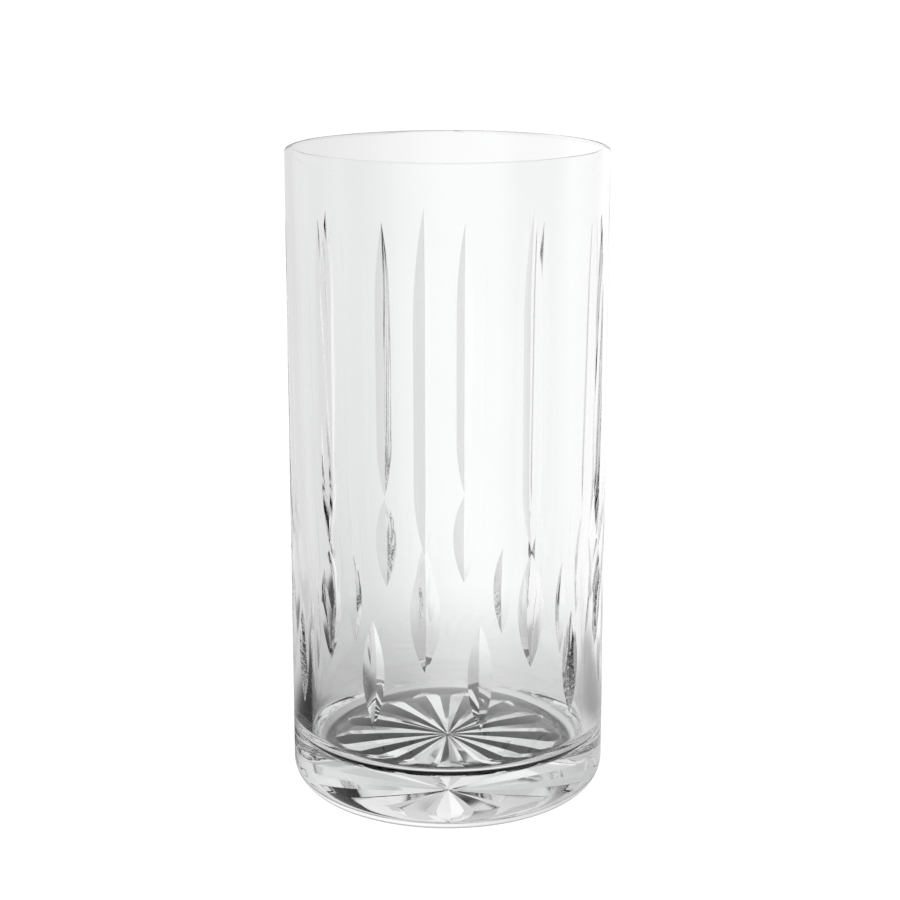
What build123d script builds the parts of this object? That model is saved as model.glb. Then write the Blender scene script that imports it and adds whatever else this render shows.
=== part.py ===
from math import acos, asin, cos, radians, sin, sqrt, tan
import os

from build123d import *

# Cut-glass highball tumbler, one piece of crystal, in millimetres.
# Frame: the origin is the centre of the foot, on the surface that the glass stands on, and +Z is the
# glass's axis, up through the mouth. Column 0 of the wall pattern faces -Y, the front.

# ---- The blank: a straight-sided tumbler with a heavy base ----
glass_height = 150.0
glass_diameter = 75.0
heel_radius = 6.3  # rounding between the side wall and the foot
foot_land = 1.2  # width of the flat ring that the glass stands on
foot_hollow = 0.9  # how far the middle of the foot stands off the table
rim_wall = 1.7  # wall at the lip, which is fully rounded
lip_facets = 6  # short facets that draw the lip's half round; an even number puts a point on top
shoulder_wall = 2.75  # wall where the inside starts to draw in
lower_wall = 4.2  # wall around the bottom of the drink
shoulder_height = 75.0  # above this the wall thins slowly towards the lip
lower_wall_height = 28.0  # below this the inside is straight
floor_height = 15.2  # the middle of the inside floor, over the table
floor_dome_radius = 110.0  # the inside floor is a low dome, which magnifies the star under it
floor_facets = 3  # short facets that draw the dome from its middle to its edge
floor_corner_radius = 5.0  # rounding between the inside wall and the inside floor
corner_facets = 6

# ---- The wall pattern, ground with a V-edged (mitre) wheel ----
column_count = 10
wall_mitre_angle = 130.0  # included angle of the V
plain_band = 15.4  # uncut glass below the lip
waist_height = 62.4  # where a long cut and the olive below it come tip to tip
tip_gap = 0.6  # uncut glass between those two tips
long_cut_depth = 1.15
long_cut_top_run = 0.33  # share of the cut over which the wheel is eased out at the top
long_cut_bottom_run = 0.20  # the same at the bottom, where the wheel leaves more steeply
olive_length = 25.0
olive_depth = 1.65
side_olive_length = 23.5  # the olives half way between two columns
side_olive_depth = 1.35
side_olive_height = 35.8  # height of their middles

# ---- The star under the foot, ground with a second V-edged wheel ----
ray_count = 15
star_mitre_angle = 130.0
star_wheel_radius = 10.0
star_margin = 2.2  # plain hollow outside the rays' tips
star_turn = 9.0  # degrees from column 0 to the nearest ray
ray_slope = 2.24  # degrees by which a ray sinks on its way out
ray_start_depth = 0.05
star_dimple_radius = 1.0  # the small dimple where the rays meet
star_dimple_depth = 0.25
ray_start = 0.3  # distance from the axis at which the rays start, inside the dimple

# ---- Derived sizes ----
glass_radius = glass_diameter / 2
lip_radius = rim_wall / 2
foot_radius = glass_radius - heel_radius
hollow_edge = foot_radius - foot_land
star_radius = hollow_edge - star_margin
long_cut_bottom = waist_height + tip_gap / 2
long_cut_top = glass_height - plain_band
long_cut_length = long_cut_top - long_cut_bottom
olive_height = waist_height - tip_gap / 2 - olive_length / 2
clear = 1.0  # how far a cutter reaches past the surface it cuts


def hollow_height(distance):
    """Height of the hollow foot, a shallow cone, over the table at this distance from the axis."""
    return foot_hollow * (1 - distance / hollow_edge)


def wheel_radius(run, depth):
    """Radius of the arc that sinks by depth over a run along the surface, and is level at its end."""
    return (run**2 + depth**2) / (2 * depth)


def wall_olive(length, depth, height):
    """The mitre wheel where it touches the front once: it leaves a pointed olive of this length."""
    wheel = wheel_radius(length / 2, depth)
    valley_y = depth - glass_radius
    reach = depth + clear
    half_width = reach * tan(radians(wall_mitre_angle / 2))
    with BuildPart() as cut:
        with BuildSketch(Plane.XY.offset(height)):
            with BuildLine():
                mouth_y = valley_y - reach
                Polyline((0, valley_y), (half_width, mouth_y), (-half_width, mouth_y), close=True)
            make_face()
        revolve(axis=Axis((0, valley_y - wheel, height), (1, 0, 0)))
    return cut.part


def long_cut():
    """The long cut on the front: the wheel is eased in, runs straight down the wall and is eased out."""
    valley_y = long_cut_depth - glass_radius
    reach = long_cut_depth + 2 * clear
    half_width = reach * tan(radians(wall_mitre_angle / 2))
    straight_bottom = long_cut_bottom + long_cut_bottom_run * long_cut_length
    straight_top = long_cut_top - long_cut_top_run * long_cut_length

    def way_out(run):
        """Steps outwards and along the wall, to the middle and the end of an arc that leaves the glass."""
        radius = wheel_radius(run, long_cut_depth)
        full_turn = acos(1 - (long_cut_depth + clear) / radius)
        return [(radius * (1 - cos(turn)), radius * sin(turn)) for turn in (full_turn / 2, full_turn)]

    low_middle, low_end = way_out(straight_bottom - long_cut_bottom)
    top_middle, top_end = way_out(long_cut_top - straight_top)
    with BuildPart() as cut:
        with BuildLine(Plane.YZ) as valley:
            ThreePointArc(
                (valley_y - low_end[0], straight_bottom - low_end[1]),
                (valley_y - low_middle[0], straight_bottom - low_middle[1]),
                (valley_y, straight_bottom),
            )
            Line((valley_y, straight_bottom), (valley_y, straight_top))
            ThreePointArc(
                (valley_y, straight_top),
                (valley_y - top_middle[0], straight_top + top_middle[1]),
                (valley_y - top_end[0], straight_top + top_end[1]),
            )
        with BuildSketch(Plane(valley.line @ 0, x_dir=(1, 0, 0), z_dir=valley.line % 0)):
            with BuildLine():
                Polyline((0, 0), (half_width, -reach), (-half_width, -reach), close=True)
            make_face()
        sweep(path=valley.line)
    return cut.part


def star_ray():
    """One ray of the star, along -Y: a straight ramp that sinks from the centre, then the wheel's way out."""
    slope = radians(ray_slope)
    start_height = foot_hollow + ray_start_depth
    # The wheel's centre is one wheel radius below the ramp and one from the ray's tip. With the ramp as
    # start + s * (cos, sin), that is a quadratic for s at the point where the wheel leaves the ramp.
    centre_out = star_wheel_radius * sin(slope) - star_radius
    centre_up = start_height - hollow_height(star_radius) - star_wheel_radius * cos(slope)
    linear = centre_out * cos(slope) + centre_up * sin(slope)
    constant = centre_out**2 + centre_up**2 - star_wheel_radius**2
    ramp_length = -linear - sqrt(linear**2 - constant)
    touch_out = ramp_length * cos(slope)
    touch_up = start_height + ramp_length * sin(slope)
    wheel_out = touch_out + star_wheel_radius * sin(slope)
    wheel_up = touch_up - star_wheel_radius * cos(slope)
    leave_angle = acos((-clear - wheel_up) / star_wheel_radius)

    def on_wheel(turn):
        """Point of the wheel's edge, turned outwards from its top, as (y, z)."""
        return (-(wheel_out + star_wheel_radius * sin(turn)), wheel_up + star_wheel_radius * cos(turn))

    ramp_start = (-ray_start, start_height + ray_start * tan(slope))
    reach = touch_up + 2 * clear
    half_width = reach * tan(radians(star_mitre_angle / 2))
    with BuildPart() as cut:
        with BuildLine(Plane.YZ) as valley:
            Line(ramp_start, (-touch_out, touch_up))
            ThreePointArc(
                (-touch_out, touch_up), on_wheel((leave_angle - slope) / 2), on_wheel(leave_angle)
            )
        with BuildSketch(Plane(valley.line @ 0, x_dir=(1, 0, 0), z_dir=valley.line % 0)):
            with BuildLine():
                Polyline((0, 0), (half_width, -reach), (-half_width, -reach), close=True)
            make_face()
        sweep(path=valley.line)
    return cut.part


with BuildPart() as tumbler:
    # The blank, turned about its axis: hollow foot, outside, lip, thickening inside wall and domed floor.
    with BuildSketch(Plane.XZ):
        with BuildLine():
            lip_height = glass_height - lip_radius
            lip_turns = [radians(180 * facet / lip_facets) for facet in range(lip_facets + 1)]
            lip_middle = glass_radius - lip_radius
            lip = [(lip_middle + lip_radius * cos(a), lip_height + lip_radius * sin(a)) for a in lip_turns]
            shoulder = (glass_radius - shoulder_wall, shoulder_height)
            lower_inside = (glass_radius - lower_wall, lower_wall_height)
            # The corner's arc touches the dome of the floor, so their centres are both radii apart.
            corner_middle = lower_inside[0] - floor_corner_radius
            centres_apart = floor_dome_radius + floor_corner_radius
            dome_turn = asin(corner_middle / centres_apart)
            dome_middle = floor_height - floor_dome_radius
            corner_height = dome_middle + centres_apart * cos(dome_turn)
            corner_turns = [(radians(90) + dome_turn) * facet / corner_facets for facet in range(corner_facets + 1)]
            corner = [
                (corner_middle + floor_corner_radius * cos(a), corner_height - floor_corner_radius * sin(a))
                for a in corner_turns
            ]
            dome_turns = [dome_turn * facet / floor_facets for facet in reversed(range(floor_facets))]
            dome = [(floor_dome_radius * sin(a), dome_middle + floor_dome_radius * cos(a)) for a in dome_turns]
            dimple_top = (0, foot_hollow + star_dimple_depth)
            dimple_edge = (star_dimple_radius, hollow_height(star_dimple_radius))
            Line(dimple_top, dimple_edge)
            Polyline(dimple_edge, (hollow_edge, 0), (foot_radius, 0))
            RadiusArc((foot_radius, 0), (glass_radius, heel_radius), -heel_radius)
            Line((glass_radius, heel_radius), lip[0])
            Polyline(*lip)
            upper_inside = Line(lip[-1], shoulder)
            Spline(shoulder, lower_inside, tangents=(upper_inside % 1, (0, -1)))
            Polyline(lower_inside, *corner, *dome, dimple_top)
        make_face()
    revolve(axis=Axis.Z)
    # The wall pattern: ten columns of a long cut over an olive, and an olive half way between columns.
    column_pitch = 360 / column_count
    with PolarLocations(0, column_count):
        add(long_cut(), mode=Mode.SUBTRACT)
        add(wall_olive(olive_length, olive_depth, olive_height), mode=Mode.SUBTRACT)
    with PolarLocations(0, column_count, start_angle=column_pitch / 2):
        add(wall_olive(side_olive_length, side_olive_depth, side_olive_height), mode=Mode.SUBTRACT)
    # The star under the foot.
    with PolarLocations(0, ray_count, start_angle=star_turn):
        add(star_ray(), mode=Mode.SUBTRACT)

tumbler.part.label = "tumbler"
os.makedirs("parts", exist_ok=True)
export_step(tumbler.part, "parts/tumbler.step")
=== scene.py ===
from math import asin, cos, pi, radians, sin, sqrt, tan

import bpy
import numpy as np
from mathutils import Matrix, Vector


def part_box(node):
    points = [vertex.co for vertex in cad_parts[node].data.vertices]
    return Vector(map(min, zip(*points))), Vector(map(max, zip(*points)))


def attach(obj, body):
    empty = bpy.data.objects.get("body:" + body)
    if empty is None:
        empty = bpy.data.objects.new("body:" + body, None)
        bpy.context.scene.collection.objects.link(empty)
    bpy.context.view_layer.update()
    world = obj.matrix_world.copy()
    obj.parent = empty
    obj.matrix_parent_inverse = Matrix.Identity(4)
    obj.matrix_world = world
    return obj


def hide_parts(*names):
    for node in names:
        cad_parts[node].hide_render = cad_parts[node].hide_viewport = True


# A cut-crystal highball tumbler on a pale floor in soft studio light, in metres.
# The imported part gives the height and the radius. The glass is rebuilt here as one smooth closed
# surface with exact normals, because a clear body shows every facet of its mesh.

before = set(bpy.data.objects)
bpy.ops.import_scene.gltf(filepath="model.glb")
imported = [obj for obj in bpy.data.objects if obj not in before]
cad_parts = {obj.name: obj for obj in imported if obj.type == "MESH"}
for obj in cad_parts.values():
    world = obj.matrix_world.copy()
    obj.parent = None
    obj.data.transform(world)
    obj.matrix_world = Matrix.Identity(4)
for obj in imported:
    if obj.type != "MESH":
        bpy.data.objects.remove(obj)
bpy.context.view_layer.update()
MM = 0.001

# ---------------------------------------------------------------- sizes of the glass, in metres
LOW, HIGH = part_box("tumbler")
HEIGHT = HIGH.z - LOW.z
RADIUS = HIGH.x
HEEL = 6.3 * MM  # rounding between the side wall and the foot
FOOT = RADIUS - HEEL
HOLLOW, HOLLOW_EDGE = 0.9 * MM, FOOT - 1.2 * MM  # the foot is hollow inside the ring it stands on
LIP = 0.85 * MM  # radius of the half round of the lip, half the wall there
SHOULDER_WALL, SHOULDER_HEIGHT = 2.75 * MM, 75 * MM
LOWER_WALL, LOWER_WALL_HEIGHT = 4.2 * MM, 28 * MM
FLOOR, DOME = 15.2 * MM, 110 * MM  # top of the inside floor's low dome, and its radius
CORNER = 5 * MM  # rounding between the inside wall and the inside floor

COLUMNS = 10  # columns of wall cuts
WALL_MITRE = radians(130)  # included angle of the V of the wall cuts
PLAIN_BAND = 15.4 * MM  # uncut glass below the lip
WAIST, TIP_GAP = 62.4 * MM, 0.6 * MM  # where a long cut and its olive come tip to tip, and the gap there
OLIVE_LENGTH, OLIVE_TOP = 25 * MM, WAIST - TIP_GAP / 2
SIDE_LENGTH, SIDE_HEIGHT = 23.5 * MM, 35.8 * MM  # the olives between two columns, and their middles

RAYS = 15  # rays of the star under the foot
STAR_MITRE = radians(130)  # included angle of the V of the rays
STAR_TURN = radians(9)  # from column 0 to the nearest ray
STAR_WHEEL = 10 * MM
STAR_RADIUS = HOLLOW_EDGE - 2.2 * MM
RAY_SLOPE = radians(2.24)
RAY_START = HOLLOW + 0.05 * MM
DIMPLE_RADIUS, DIMPLE_DEPTH = 1.0 * MM, 0.25 * MM

# ---------------------------------------------------------------- how the mesh's grid is divided
FACE_STEPS = 5  # grid steps from a valley to its edge
WALL_STEPS = 42  # grid steps in one column's pitch
AROUND = WALL_STEPS * COLUMNS
STAR_STEPS = AROUND // RAYS  # grid steps in one ray's pitch
# rows round the middle of the star, closer together where the rays meet
MIDDLE_ROWS = np.array([0.1, 0.25, 0.4, 0.6, 0.8, 1, 1.25, 1.6, 2.1, 2.8, 3.8, 5, 6.5, 8.5, 10.5]) * MM
# rows in each other stretch of the half section, from the star's ramps to the inside floor
ROWS = dict(
    ramp=6, ray_end=12, margin=2, ring=2, heel=16, lip=24,
    taper=8, shoulder=24, lower=3, corner=14, floor=8,
)
FLOOR_POLE = 1 * MM  # radius of the inside floor's last row, round its middle
CREASE = 0.05 * MM  # from the hollow's edge to the ring's first row
LEAST_WIDTH = 0.05 * MM  # the grid keeps this half width where a cut has run out
WIDEST_RAY = 0.85  # most of half a ray's pitch that the grid gives to the ray
SETTLE_TURNS = 16  # turns in which the edge of a ray is found
LEVELS = (0, 0, 1, 1)  # whether each corner of a cell lies on the cell's first row or on its second
HAIR = 1e-9  # far under any size here: keeps rounding out of comparisons and roots
KINK = 1e-7  # metres: the slope at a kink of a ray's valley is read this far inside it


def wheel_cut(bottom, top, depth, share_in, share_out):
    """A cut in the wall: its two ends, its depth, and the stretches over which the wheel sinks in at the
    bottom and rises again at the top, given as shares of its length."""
    run_in, run_out = share_in * (top - bottom), share_out * (top - bottom)
    return dict(bottom=bottom, top=top, depth=depth, run_in=run_in, run_out=run_out)


LONG = wheel_cut(WAIST + TIP_GAP / 2, HEIGHT - PLAIN_BAND, 1.15 * MM, 0.20, 0.33)
OLIVE = wheel_cut(OLIVE_TOP - OLIVE_LENGTH, OLIVE_TOP, 1.65 * MM, 0.5, 0.5)
SIDE = wheel_cut(SIDE_HEIGHT - SIDE_LENGTH / 2, SIDE_HEIGHT + SIDE_LENGTH / 2, 1.35 * MM, 0.5, 0.5)


def cut_depth(z, cut):
    """Depth and slope of a wheel cut at heights z. The valley line sinks along the arc that the wheel
    makes over run_in, is level, and rises along another arc over run_out: depth - (r - sqrt(r^2 - s^2)),
    with s the distance from the level stretch and r = (run^2 + depth^2) / (2 depth)."""
    low_s = np.clip(cut["bottom"] + cut["run_in"] - z, 0, cut["run_in"])
    high_s = np.clip(z - cut["top"] + cut["run_out"], 0, cut["run_out"])
    low_r = (cut["run_in"] ** 2 + cut["depth"] ** 2) / (2 * cut["depth"])
    high_r = (cut["run_out"] ** 2 + cut["depth"] ** 2) / (2 * cut["depth"])
    low_root, high_root = np.sqrt(low_r**2 - low_s**2), np.sqrt(high_r**2 - high_s**2)
    depth = cut["depth"] - (low_r - low_root) - (high_r - high_root)
    return depth, low_s / low_root - high_s / high_root


def half_width(depth):
    """Half width of a V of this depth in the round wall: where the V's side, RADIUS - depth + x / tan(half
    angle), meets the circle sqrt(RADIUS^2 - x^2). It is the positive root of that quadratic in x."""
    rise = 1 / tan(WALL_MITRE / 2)
    floor = RADIUS - depth
    root = np.sqrt((floor * rise) ** 2 + (1 + rise**2) * (RADIUS**2 - floor**2))
    return (root - floor * rise) / (1 + rise**2)


def hollow_height(r):
    """Height of the hollow foot, a shallow cone, at distances r from the axis."""
    return HOLLOW * (1 - r / HOLLOW_EDGE)


def star_ramp():
    """Where a ray's straight ramp meets the wheel's arc, from the condition that the arc touches the ramp
    and passes through the ray's tip: (distance out, height) there, and the arc's centre."""
    out = STAR_WHEEL * sin(RAY_SLOPE) - STAR_RADIUS
    up = RAY_START - hollow_height(STAR_RADIUS) - STAR_WHEEL * cos(RAY_SLOPE)
    linear = out * cos(RAY_SLOPE) + up * sin(RAY_SLOPE)
    length = -linear - sqrt(linear**2 - out**2 - up**2 + STAR_WHEEL**2)
    touch = length * cos(RAY_SLOPE), RAY_START + length * sin(RAY_SLOPE)
    return touch, (touch[0] + STAR_WHEEL * sin(RAY_SLOPE), touch[1] - STAR_WHEEL * cos(RAY_SLOPE))


RAMP_END, STAR_ARC = star_ramp()


def ray_height(x):
    """Height and slope of a ray's valley at distances x from the glass's axis: a straight ramp, then the
    wheel's arc down to the tip, and far under the glass beyond it."""
    arc = np.sqrt(np.maximum(STAR_WHEEL**2 - (x - STAR_ARC[0]) ** 2, HAIR))
    on_ramp = x < RAMP_END[0]
    height = np.where(on_ramp, RAY_START + x * tan(RAY_SLOPE), STAR_ARC[1] + arc)
    slope = np.where(on_ramp, tan(RAY_SLOPE), -(x - STAR_ARC[0]) / arc)
    return np.where(x < STAR_RADIUS, height, -1), slope


def steps(start, stop, count):
    """count values from start towards stop, without stop."""
    return np.linspace(start, stop, count, endpoint=False)


def stretch(r, z, tangent_r, tangent_z):
    """A stretch of the half section, as rows of radius, height and the two parts of the tangent."""
    return np.stack(np.broadcast_arrays(r, z, tangent_r, tangent_z), -1).astype(float)


def outside():
    """The half section from the middle of the foot outwards, up the wall and over the lip, as named
    stretches. The heel and the lip are arcs, and the wall has a row wherever a cut starts or ends."""
    part = {}
    star = np.concatenate([
        MIDDLE_ROWS[:-1], steps(MIDDLE_ROWS[-1], RAMP_END[0], ROWS["ramp"]),
        steps(RAMP_END[0], STAR_RADIUS, ROWS["ray_end"]), steps(STAR_RADIUS, HOLLOW_EDGE, ROWS["margin"]),
        [HOLLOW_EDGE],
    ])
    part["star"] = stretch(star, hollow_height(star), 1, -HOLLOW / HOLLOW_EDGE)
    part["ring"] = stretch(steps(HOLLOW_EDGE + CREASE, FOOT, ROWS["ring"]), 0, 1, 0)
    turn = steps(0, pi / 2, ROWS["heel"])
    heel_r, heel_z = FOOT + HEEL * np.sin(turn), HEEL - HEEL * np.cos(turn)
    part["heel"] = stretch(heel_r, heel_z, np.cos(turn), np.sin(turn))
    marks = [  # heights, with the number of rows from each to the next
        (HEEL, 5), (SIDE["bottom"], 13), (OLIVE["bottom"], 11), (SIDE["top"], 15), (OLIVE["top"], 1),
        (LONG["bottom"], 13), (LONG["bottom"] + LONG["run_in"], 8), (LONG["top"] - LONG["run_out"], 22),
        (LONG["top"], 4), (HEIGHT - LIP, 0),
    ]
    wall = [steps(low, high, count) for (low, count), (high, _) in zip(marks, marks[1:])]
    part["wall"] = stretch(RADIUS, np.concatenate(wall), 0, 1)
    turn = steps(0, pi, ROWS["lip"])
    lip_r, lip_z = RADIUS - LIP + LIP * np.cos(turn), HEIGHT - LIP + LIP * np.sin(turn)
    part["lip"] = stretch(lip_r, lip_z, -np.sin(turn), np.cos(turn))
    return part


def inside():
    """The half section from the lip down the inside and in to the middle of the floor, as named stretches.
    The wall thins along a straight taper above the shoulder. Below it, with t from 0 to 1 on the way down,
    it thickens as 3t^2 - 2t^3, plus the taper's slope times t(1 - t)^2, so it starts with the taper's slope
    and ends upright. The corner and the floor are arcs that touch."""
    part = {}
    taper = (SHOULDER_WALL - 2 * LIP) / (HEIGHT - LIP - SHOULDER_HEIGHT)
    z = steps(HEIGHT - LIP, SHOULDER_HEIGHT, ROWS["taper"])
    part["taper"] = stretch(RADIUS - SHOULDER_WALL + taper * (z - SHOULDER_HEIGHT), z, -taper, -1)
    drop = SHOULDER_HEIGHT - LOWER_WALL_HEIGHT
    t = steps(0, 1, ROWS["shoulder"])
    thicken, thicken_slope = 3 * t**2 - 2 * t**3, (6 * t - 6 * t**2) / drop
    lead, lead_slope = t * (1 - t) ** 2 * drop, (1 - t) ** 2 - 2 * t * (1 - t)
    more = LOWER_WALL - SHOULDER_WALL
    r = RADIUS - (SHOULDER_WALL + more * thicken + taper * lead)
    slope = -more * thicken_slope - taper * lead_slope
    part["shoulder"] = stretch(r, SHOULDER_HEIGHT - t * drop, slope, -1)
    inner = RADIUS - LOWER_WALL
    middle, apart = inner - CORNER, DOME + CORNER  # of the corner's arc, and between the two arcs' middles
    top = FLOOR - DOME + sqrt(apart**2 - middle**2)
    part["lower"] = stretch(inner, steps(LOWER_WALL_HEIGHT, top, ROWS["lower"]), 0, -1)
    turn = steps(0, pi / 2 + asin(middle / apart), ROWS["corner"])
    corner_r, corner_z = middle + CORNER * np.cos(turn), top - CORNER * np.sin(turn)
    part["corner"] = stretch(corner_r, corner_z, -np.sin(turn), -np.cos(turn))
    r = np.append(steps(middle * DOME / apart, 0, ROWS["floor"]), FLOOR_POLE)
    root = np.sqrt(DOME**2 - r**2)
    part["floor"] = stretch(r, FLOOR - DOME + root, -1, r / root)
    return part


def whole_turn(half, pitch, count, mirror):
    """Lay half a pitch's columns out to a whole turn. With mirror +1 the values repeat, mirrored in each
    pitch, as radii do. With mirror -1 they are angles, which also grow by a pitch each time."""
    back = half[:, -2:0:-1]
    one = np.concatenate([half, back if mirror > 0 else pitch - back], 1)
    grow = 0 if mirror > 0 else pitch * np.arange(count)
    return (one[:, None, :] + np.broadcast_to(grow, (count,))[None, :, None]).reshape(len(half), -1)


def wall_grid(z):
    """Angles and radii of the wall's grid at heights z. From the middle of a cut outwards the points lie on
    the V's straight side, (RADIUS - depth) + x / tan(half angle) at x from the middle, up to its edge in
    the round wall. Between the edges of two neighbours they lie on the circle of the wall."""
    half = pi / COLUMNS
    rise = 1 / tan(WALL_MITRE / 2)
    angle, radius = [], []
    for cuts in ((LONG, OLIVE), (SIDE,)):
        depth = sum(np.where((z > c["bottom"]) & (z < c["top"]), cut_depth(z, c)[0], 0) for c in cuts)
        x = np.maximum(half_width(depth), LEAST_WIDTH)[:, None] * np.arange(FACE_STEPS + 1) / FACE_STEPS
        out = np.minimum(RADIUS - depth[:, None] + x * rise, np.sqrt(RADIUS**2 - x**2))
        angle.append(np.arctan2(x, out))
        radius.append(np.hypot(x, out))
    plain = WALL_STEPS // 2 - 2 * FACE_STEPS
    across = np.arange(plain + 1) / plain
    between = angle[0][:, -1:] * (1 - across) + (half - angle[1][:, -1:]) * across
    angles = np.concatenate([angle[0][:, :-1], between, half - angle[1][:, -2::-1]], 1)
    radii = np.concatenate([radius[0][:, :-1], RADIUS + 0 * between, radius[1][:, -2::-1]], 1)
    return whole_turn(angles, 2 * half, COLUMNS, -1), whole_turn(radii, 2 * half, COLUMNS, 1)


def dimple_height(r):
    """Height of the cone in the middle of the star."""
    return HOLLOW + DIMPLE_DEPTH * (1 - r / DIMPLE_RADIUS)


def star_grid(r):
    """Angles and heights of the star's grid at distances r from the axis. A ray's height is its valley's
    height less |y| / tan(half angle), with x along the ray and y across it, and the dimple is a cone. The
    surface is the highest of the two and of the hollow foot."""
    half = pi / RAYS
    rise = 1 / tan(STAR_MITRE / 2)
    foot = hollow_height(r)
    edge = np.full(len(r), half / 2)
    for _ in range(SETTLE_TURNS):  # the edge is where the ray comes down to the foot
        sine = (ray_height(r * np.cos(edge))[0] - foot) / rise / r
        edge = np.arcsin(np.clip(sine, LEAST_WIDTH / r, sin(WIDEST_RAY * half)))
    plain = STAR_STEPS // 2 - FACE_STEPS
    across = np.arange(plain + 1) / plain
    face = edge[:, None] * np.arange(FACE_STEPS) / FACE_STEPS
    angles = np.concatenate([face, edge[:, None] * (1 - across) + half * across], 1)
    x, y = r[:, None] * np.cos(angles), r[:, None] * np.sin(angles)
    heights = np.maximum(ray_height(x)[0] - y * rise, np.maximum(dimple_height(r), foot)[:, None])
    return whole_turn(angles, 2 * half, RAYS, -1), whole_turn(heights, 2 * half, RAYS, 1)


def on_axes(middle, outward, around, up):
    """Unit vectors from their parts outward, around and up at the angle middle, which counts from the front
    (-Y) towards +X."""
    outward, around, up, middle = np.broadcast_arrays(outward, around, up, middle)
    sine, cosine = np.sin(middle), np.cos(middle)
    vectors = np.stack([outward * sine + around * cosine, around * sine - outward * cosine, up], -1)
    return vectors / np.linalg.norm(vectors, axis=-1, keepdims=True)


def add_wall_cuts(normals, marks, wall, first_row):
    """Give the cells of the wall's cuts their normals and marks. A V's side has the gradient of its own
    formula: across the valley it tilts by 1 / tan(half angle), along it by the slope of its depth."""
    rise = 1 / tan(WALL_MITRE / 2)
    pitch = 2 * pi / COLUMNS
    z = wall[:, 1]
    for cut, shift in ((LONG, 0), (OLIVE, 0), (SIDE, WALL_STEPS // 2)):
        along = (z > cut["bottom"] - HAIR) & (z < cut["top"] + HAIR)
        rows = np.flatnonzero(along[:-1] & along[1:])
        slope = cut_depth(z, cut)[1]
        middle = np.repeat(np.arange(COLUMNS) * pitch + shift * pitch / WALL_STEPS, FACE_STEPS)
        for side, first in ((1, 0), (-1, -FACE_STEPS)):
            columns = np.arange(AROUND).reshape(COLUMNS, WALL_STEPS)[:, :FACE_STEPS]
            columns = ((columns + first + shift) % AROUND).ravel()
            cells = (first_row + rows)[:, None], columns[None, :]
            for corner, level in enumerate(LEVELS):
                lean = slope[rows + level][:, None]
                normals[cells + (corner,)] = on_axes(middle[None, :], 1, -side * rise, lean)
            marks[cells] = 1


def add_star(normals, marks, star, angles):
    """Give the cells of the star their normals and marks, each from the ray, the dimple or the foot,
    whichever is there. A ray's side tilts by 1 / tan(half angle) across its valley and by the valley's
    slope along it. The dimple is a cone."""
    rise = 1 / tan(STAR_MITRE / 2)
    pitch = 2 * pi / RAYS
    follow = (np.arange(AROUND) + 1) % AROUND
    r = star[:, 0]
    mid_r = (r[:-1] + r[1:])[:, None] / 2
    plain_height = np.maximum(hollow_height(mid_r), dimple_height(mid_r))
    # In the last column, where the angles start again, this mean is half a turn out, so a narrow sector
    # between the two front rays is shaded as the back of the star is.
    mid_angle = (angles[: len(r) - 1] + angles[1 : len(r)][:, follow]) / 2
    for ray in range(RAYS):
        middle = STAR_TURN + ray * pitch
        offset = (mid_angle - middle + pi) % (2 * pi) - pi
        x, y = mid_r * np.cos(offset), mid_r * np.abs(np.sin(offset))
        in_ray = (np.abs(offset) < pitch / 2) & (ray_height(x)[0] - y * rise > plain_height)
        row, column = np.nonzero(in_ray)
        side = np.sign(offset[row, column])
        for corner, level in enumerate(LEVELS):
            corner_column = column if corner in (0, 3) else follow[column]
            turn = angles[row + level, corner_column] - middle
            slope = ray_height(r[row + level] * np.cos(turn) - KINK)[1]
            normals[row, column, corner] = on_axes(middle, slope, -side * rise, -1)
        marks[row, column] = 1
    cone = np.flatnonzero(r[1:] < DIMPLE_RADIUS + HAIR)
    bare = (marks[cone] == 0)[..., None, None]
    lean = on_axes(angles[cone][:, :, None], -DIMPLE_DEPTH / DIMPLE_RADIUS, 0, -1)
    normals[cone] = np.where(bare, lean, normals[cone])


def cell_normals(part, start, angles):
    """Outward normals at the four corners of each cell of the grid, and a mark of 1 for each cell on a cut.
    Plain glass has the half section's normal, which is its tangent turned by a quarter, and a cut has the
    normals of its own flat sides. So the edges of the cuts stay sharp and the rest is smooth."""
    section = np.concatenate(list(part.values()))
    length = np.hypot(section[:, 2], section[:, 3])
    plain = on_axes(angles, (section[:, 3] / length)[:, None], 0, (-section[:, 2] / length)[:, None])
    after = np.roll(plain, -1, 1)
    normals = np.stack([plain[:-1], after[:-1], after[1:], plain[1:]], 2)
    marks = np.zeros(normals.shape[:2])
    add_wall_cuts(normals, marks, part["wall"], start["wall"])
    add_star(normals, marks, part["star"], angles)
    return normals, marks


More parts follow.
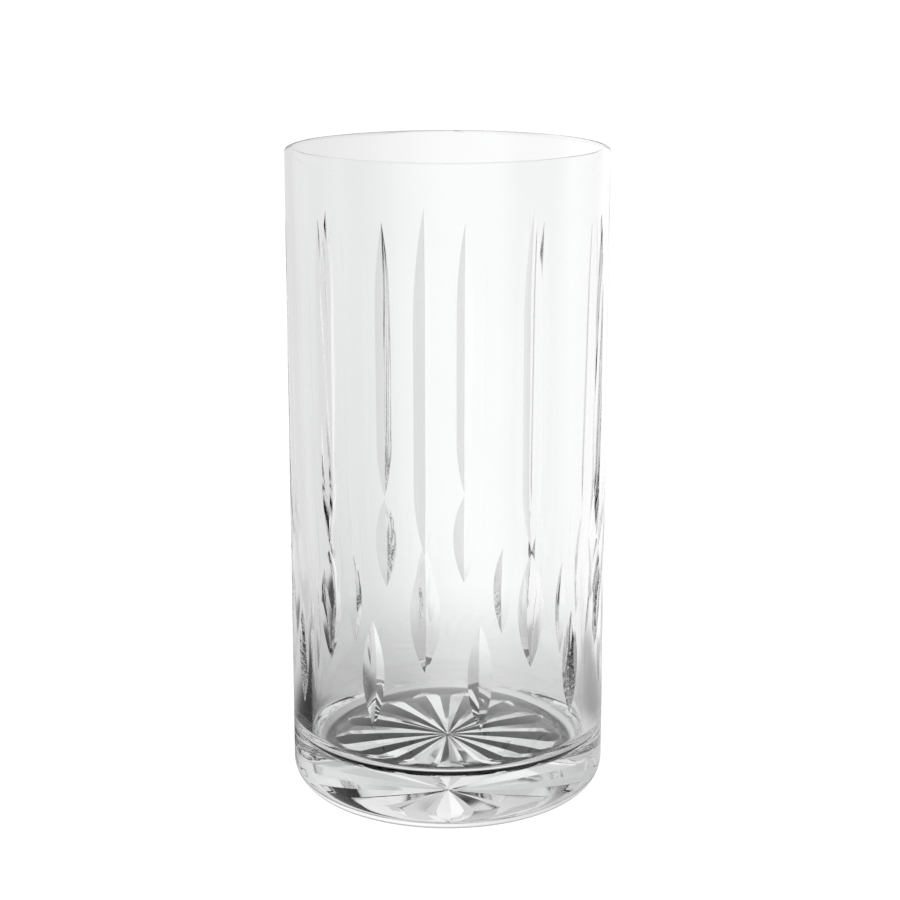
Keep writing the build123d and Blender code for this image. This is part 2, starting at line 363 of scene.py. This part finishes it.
def crystal_mesh(name):
    """The whole glass as one closed surface: the half section's rows carried once round the axis. The
    star's columns slide into the wall's over the heel, and the wall's into even ones over the lip."""
    part = {**outside(), **inside()}
    start = dict(zip(part, np.cumsum([0] + [len(rows) for rows in part.values()])))
    section = np.concatenate(list(part.values()))
    wall_angles, wall_radii = wall_grid(part["wall"][:, 1])
    star_angles, star_heights = star_grid(part["star"][:, 0])
    turned = round(STAR_TURN / (2 * pi) * AROUND)  # the star's columns are counted from the front too
    star_angles = np.roll(star_angles + STAR_TURN, turned, 1)
    star_angles[:, :turned] -= 2 * pi
    star_heights = np.roll(star_heights, turned, 1)
    even = 2 * pi * np.arange(AROUND) / AROUND

    def slide(rows, first, last):
        """Rows of angles that go evenly from those of first towards those of last."""
        share = (np.arange(rows) / rows)[:, None]
        return first * (1 - share) + last * share

    heel_angles = slide(start["wall"] - start["ring"], star_angles[-1], wall_angles[0])
    lip_angles = slide(len(part["lip"]), wall_angles[-1], even)
    inside_angles = np.broadcast_to(even, (len(section) - start["taper"], AROUND))
    angles = np.concatenate([star_angles, heel_angles, wall_angles, lip_angles, inside_angles])
    radii = np.repeat(section[:, :1], AROUND, 1)
    radii[start["wall"]:start["lip"]] = wall_radii
    heights = np.repeat(section[:, 1:2], AROUND, 1)
    heights[: start["ring"]] = star_heights
    points = np.stack([radii * np.sin(angles), -radii * np.cos(angles), heights], -1).reshape(-1, 3)
    points = np.concatenate([points, [[0, 0, HOLLOW + DIMPLE_DEPTH], [0, 0, FLOOR]]])
    normals, marks = cell_normals(part, start, angles)

    index = np.arange(len(section) * AROUND).reshape(len(section), AROUND)
    after = np.roll(index, -1, 1)
    quads = np.stack([index[:-1], after[:-1], after[1:], index[1:]], -1).reshape(-1, 4)
    low_pole, high_pole = len(points) - 2, len(points) - 1
    under = np.stack([after[0], index[0], np.full(AROUND, low_pole)], -1)
    floor = np.stack([index[-1], after[-1], np.full(AROUND, high_pole)], -1)
    mesh = bpy.data.meshes.new(name)
    mesh.from_pydata(points.tolist(), [], quads.tolist() + under.tolist() + floor.tolist())
    mesh.shade_smooth()
    cone = on_axes(angles[0] + pi / AROUND, -DIMPLE_DEPTH / DIMPLE_RADIUS, 0, -1)
    corners = np.concatenate([
        normals.reshape(-1, 3), np.repeat(cone, 3, 0), np.tile([0.0, 0.0, 1.0], (3 * AROUND, 1)),
    ])
    mesh.normals_split_custom_set(corners.tolist())
    cut = mesh.attributes.new("cut", "FLOAT", "FACE")
    cut.data.foreach_set("value", np.concatenate([marks.ravel(), np.zeros(2 * AROUND)]))
    return mesh


# ---------------------------------------------------------------- shader maths
def plug(tree, slot, value):
    """Link a socket to a node's input, or set the input's own value."""
    if isinstance(value, Socket):
        tree.links.new(value.output, slot)
    else:
        slot.default_value = value


def add_node(tree, kind, settings=None, **values):
    """A node of this kind: its settings are set first, then its inputs, named with _ for a space."""
    node = tree.nodes.new(kind)
    for name, value in (settings or {}).items():
        setattr(node, name, value)
    for name, value in values.items():
        plug(tree, node.inputs[name.replace("_", " ")], value)
    return node


def read(tree, kind, name, settings=None, **values):
    """The output called name of a new node."""
    return Socket(tree, add_node(tree, kind, settings, **values).outputs[name])


class Socket:
    """An output of a node in a tree. Arithmetic on it, with numbers or others, adds Math nodes."""

    def __init__(self, tree, output):
        self.tree, self.output = tree, output

    def maths(self, operation, *values):
        node = add_node(self.tree, "ShaderNodeMath", {"operation": operation})
        for slot, value in zip(node.inputs, values):
            plug(self.tree, slot, value)
        return Socket(self.tree, node.outputs[0])

    def __add__(self, other):
        return self.maths("ADD", self, other)

    def __sub__(self, other):
        return self.maths("SUBTRACT", self, other)

    def __rsub__(self, other):
        return self.maths("SUBTRACT", other, self)

    def __mul__(self, other):
        return self.maths("MULTIPLY", self, other)

    def __truediv__(self, other):
        return self.maths("DIVIDE", self, other)

    def __rtruediv__(self, other):
        return self.maths("DIVIDE", other, self)

    def __pow__(self, other):
        return self.maths("POWER", self, other)

    def __rpow__(self, other):
        return self.maths("POWER", other, self)

    __radd__, __rmul__ = __add__, __mul__

    def ramp(self, low, high):
        """0 below low, 1 above high and smooth between."""
        settings = {"interpolation_type": "SMOOTHSTEP"}
        values = dict(Value=self, From_Min=low, From_Max=high)
        return read(self.tree, "ShaderNodeMapRange", "Result", settings, **values)

    def axes(self):
        """The X, Y and Z parts of a vector."""
        parts = add_node(self.tree, "ShaderNodeSeparateXYZ", Vector=self)
        return [Socket(self.tree, output) for output in parts.outputs]


def noise(place, spread, scale, detail):
    """Soft noise from 0 to 1 over a place, drawn out along the axes whose spread is under 1."""
    drawn_out = read(place.tree, "ShaderNodeMapping", "Vector", Vector=place, Scale=spread)
    values = dict(Vector=drawn_out, Scale=scale, Detail=detail)
    return read(place.tree, "ShaderNodeTexNoise", "Fac", **values)


# ---------------------------------------------------------------- finish of the crystal
CRYSTAL_IOR = 1.53
WAVES = dict(spread=(1, 1, 0.15), scale=110, detail=0)  # of the fire polish, drawn along the height
WAVE_HEIGHT = 0.03 * MM
RIPPLES = dict(spread=(1, 1, 1), scale=1100, detail=0)  # left in the cuts by the wheel
RIPPLE_SHARE = 0.02  # height of the ripples as a share of the waves'
HAZE = dict(spread=(1, 1, 0.6), scale=55, detail=1)  # from wiping and washing
HAZE_SHOWS = (0.42, 0.68)  # values of that noise between which the haze comes up
CLEAR_TINT, HAZE_TINT, RED_LOSS = 0.999, 0.008, 0.003  # of clear glass, lost to haze, and lost by red
POLISH, HAZE_ROUGHNESS, CUT_ROUGHNESS = 0.012, 0.02, 0.018  # roughness, what haze adds, what a cut adds


def crystal():
    """Clear lead crystal. The fire-polished blank has soft waves drawn along its height, and the cuts have
    the wheel's fine ripples and a polish that is a little less even. A thin haze varies the gloss and the
    tint of both."""
    material = bpy.data.materials.new("crystal")
    material.use_nodes = True
    tree = material.node_tree
    place = read(tree, "ShaderNodeTexCoord", "Object")
    cut = read(tree, "ShaderNodeAttribute", "Fac", {"attribute_name": "cut"})
    haze = noise(place, **HAZE).ramp(*HAZE_SHOWS)
    height = (1 - cut) * noise(place, **WAVES) + RIPPLE_SHARE * cut * noise(place, **RIPPLES)
    shade = CLEAR_TINT - HAZE_TINT * haze
    shader = tree.nodes["Principled BSDF"]
    shader.inputs["IOR"].default_value = CRYSTAL_IOR
    shader.inputs["Transmission Weight"].default_value = 1
    tint = read(tree, "ShaderNodeCombineColor", "Color", Red=shade - RED_LOSS, Green=shade, Blue=shade)
    plug(tree, shader.inputs["Base Color"], tint)
    plug(tree, shader.inputs["Roughness"], POLISH + HAZE_ROUGHNESS * haze + CUT_ROUGHNESS * cut)
    bump = read(tree, "ShaderNodeBump", "Normal", Height=height, Distance=WAVE_HEIGHT, Strength=1)
    plug(tree, shader.inputs["Normal"], bump)
    return material


# ---------------------------------------------------------------- the studio
LEFT_LIGHT, MAIN_LIGHT = 0.70, 0.94  # brightness seen towards the left, and behind and to the right
LEFT_ENDS = (-0.5, 0.02)  # shares of rightward direction between which the first goes over to the second
# dark cards at the sides, dark in the backdrop's light and painted shade in the floor's glow: level
# direction (right, back), the cosine of the angle from it at which the card starts to show, and the share
# of the light that it takes
SIDE_CARDS = [((-0.94, -0.342), 0.75, 0.40), ((0.96, -0.28), 0.85, 0.45)]
HIGH_DIM = 0.18  # light that the backdrop loses overhead,
HIGH_ENDS = (0.18, 0.48)  # coming in between these shares of upward direction
FLOOR_SPAN, FLOOR_DROP = 6.0, 0.1 * MM  # half the floor's side, and its depth under the foot
PAINTED_FOOT_SHADOW = (32.5 * MM, 36 * MM)  # painted shadow under the foot: the floor's glow is black within the first radius and lit beyond the second
BACK_PAINTED_SHADE = 0.32  # painted shade in the floor's glow: light that the floor loses behind the glass, fading between these distances and coming up between these shares of backward direction
BACK_FADES = (50 * MM, 170 * MM)  # fading between these distances
BACK_ENDS = (-0.3, 0.3)  # and coming up between these shares of backward direction
# painted shade: dark patches in the floor's glow: middle x and y, half width and half depth, share of light
# taken
PAINTED_FLOOR_PATCHES = [
    (-90 * MM, 13 * MM, 52 * MM, 34 * MM, 0.85),
    (78 * MM, 55 * MM, 34 * MM, 28 * MM, 0.5),
    (0, -80 * MM, 85 * MM, 38 * MM, 0.5),
]
PAINTED_PATCH_FADES = (0.6, 1.3)  # how a painted dark patch's edge softens, in its own half widths


def level_light(right, back):
    """How bright the backdrop's light and the floor's painted glow are by direction: white behind and to
    the right, a light grey to the left, and dark where the side cards stand. Both arguments are shares of a
    level direction."""
    light = LEFT_LIGHT + (MAIN_LIGHT - LEFT_LIGHT) * right.ramp(*LEFT_ENDS)
    for (card_right, card_back), start, dark in SIDE_CARDS:
        nearness = right * card_right + back * card_back
        light = light * (1 - dark * nearness.ramp(start, 1))
    return light


def plain_to_camera(light):
    """The light that the glass sees, with plain white for what the camera sees straight."""
    seen = read(light.tree, "ShaderNodeLightPath", "Is Camera Ray")
    return light + (1 - light) * seen


def studio_world():
    """A white backdrop that dims a little as it rises. The camera itself sees plain white, as the
    photograph's background is."""
    world = bpy.data.worlds.new("studio")
    world.use_nodes = True
    tree = world.node_tree
    right, back, up = read(tree, "ShaderNodeTexCoord", "Generated").axes()
    level = (right * right + back * back) ** 0.5
    light = level_light(right / level, back / level) * (1 - HIGH_DIM * up.ramp(*HIGH_ENDS))
    background = tree.nodes["Background"]
    background.inputs["Color"].default_value = (1, 1, 1, 1)
    plug(tree, background.inputs["Strength"], plain_to_camera(light))
    bpy.context.scene.world = world


def studio_floor():
    """A plain white floor that gives its own light, painted into it. The glass sees it as the backdrop is
    by direction, with a painted shadow under its own foot, painted shade behind it and painted dark
    patches.
    The camera sees it plain."""
    signs = ((-1, -1), (1, -1), (1, 1), (-1, 1))
    corners = [(x * FLOOR_SPAN, y * FLOOR_SPAN, -FLOOR_DROP) for x, y in signs]
    mesh = bpy.data.meshes.new("studio_floor")
    mesh.from_pydata(corners, [], [(0, 1, 2, 3)])
    piece = bpy.data.objects.new("studio_floor", mesh)
    bpy.context.scene.collection.objects.link(piece)
    material = bpy.data.materials.new("studio_floor")
    material.use_nodes = True
    tree = material.node_tree
    x, y, _ = read(tree, "ShaderNodeTexCoord", "Object").axes()
    away = (x * x + y * y) ** 0.5
    # painted light and shade: the floor's glow follows the backdrop's light by direction, with a black
    # painted shadow under the foot
    light = level_light(x / away, y / away) * away.ramp(*PAINTED_FOOT_SHADOW)
    # painted shade: the floor's glow dims near the glass, behind it
    light = light * (1 - BACK_PAINTED_SHADE * (1 - away.ramp(*BACK_FADES)) * (y / away).ramp(*BACK_ENDS))
    # painted shade: dark patches in the floor's glow
    for middle_x, middle_y, half_x, half_y, dark in PAINTED_FLOOR_PATCHES:
        near = (((x - middle_x) / half_x) ** 2 + ((y - middle_y) / half_y) ** 2) ** 0.5
        light = light * (1 - dark * (1 - near.ramp(*PAINTED_PATCH_FADES)))
    glow = read(tree, "ShaderNodeEmission", "Emission", Strength=plain_to_camera(light))
    plug(tree, tree.nodes["Material Output"].inputs["Surface"], glow)
    tree.nodes.remove(tree.nodes["Principled BSDF"])
    mesh.materials.append(material)


# ---------------------------------------------------------------- the photograph's view
SENSOR, LENS = 36, 48.44  # millimetres, as a camera's own sizes are
CAMERA_TURN = radians(7.4)  # about the glass's axis, from the front towards +X
CAMERA_DISTANCE, CAMERA_HEIGHT = 286.7 * MM, 119.3 * MM  # from the axis and over the table
CAMERA_TILT, CAMERA_SWING = radians(7.80), radians(0.109)  # down, and to the right of the axis
NEAREST = 10 * MM  # what the camera sees starts here
BLACK, WHITE = 0.03, 0.93  # levels of light that the picture shows as black and as white
BOUNCES = 40  # of light through the glass, so that its thick base isn't black


def camera():
    """The photograph's view: lens, distance, height and tilt worked out from its ellipses."""
    data = bpy.data.cameras.new("camera")
    data.sensor_width, data.lens = SENSOR, LENS
    data.clip_start = NEAREST
    piece = bpy.data.objects.new("camera", data)
    across, out = CAMERA_DISTANCE * sin(CAMERA_TURN), CAMERA_DISTANCE * cos(CAMERA_TURN)
    piece.location = (across, -out, CAMERA_HEIGHT)
    piece.rotation_euler = (pi / 2 - CAMERA_TILT, 0, CAMERA_TURN - CAMERA_SWING)
    bpy.context.scene.collection.objects.link(piece)
    bpy.context.scene.camera = piece


def picture():
    """The picture's levels, and how far light is followed."""
    view, cycles = bpy.context.scene.view_settings, bpy.context.scene.cycles
    view.view_transform = "Standard"
    view.use_curve_mapping = True
    view.curve_mapping.black_level = (BLACK, BLACK, BLACK)
    view.curve_mapping.white_level = (WHITE, WHITE, WHITE)
    cycles.max_bounces = cycles.transmission_bounces = BOUNCES
    cycles.glossy_bounces, cycles.diffuse_bounces = 24, 3
    cycles.caustics_refractive = cycles.caustics_reflective = True
    cycles.use_denoising = True


glass = bpy.data.objects.new("tumbler_crystal", crystal_mesh("tumbler_crystal"))
bpy.context.scene.collection.objects.link(glass)
glass.data.materials.append(crystal())
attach(glass, "root")
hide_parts("tumbler")

studio_world()
studio_floor()
camera()
picture()
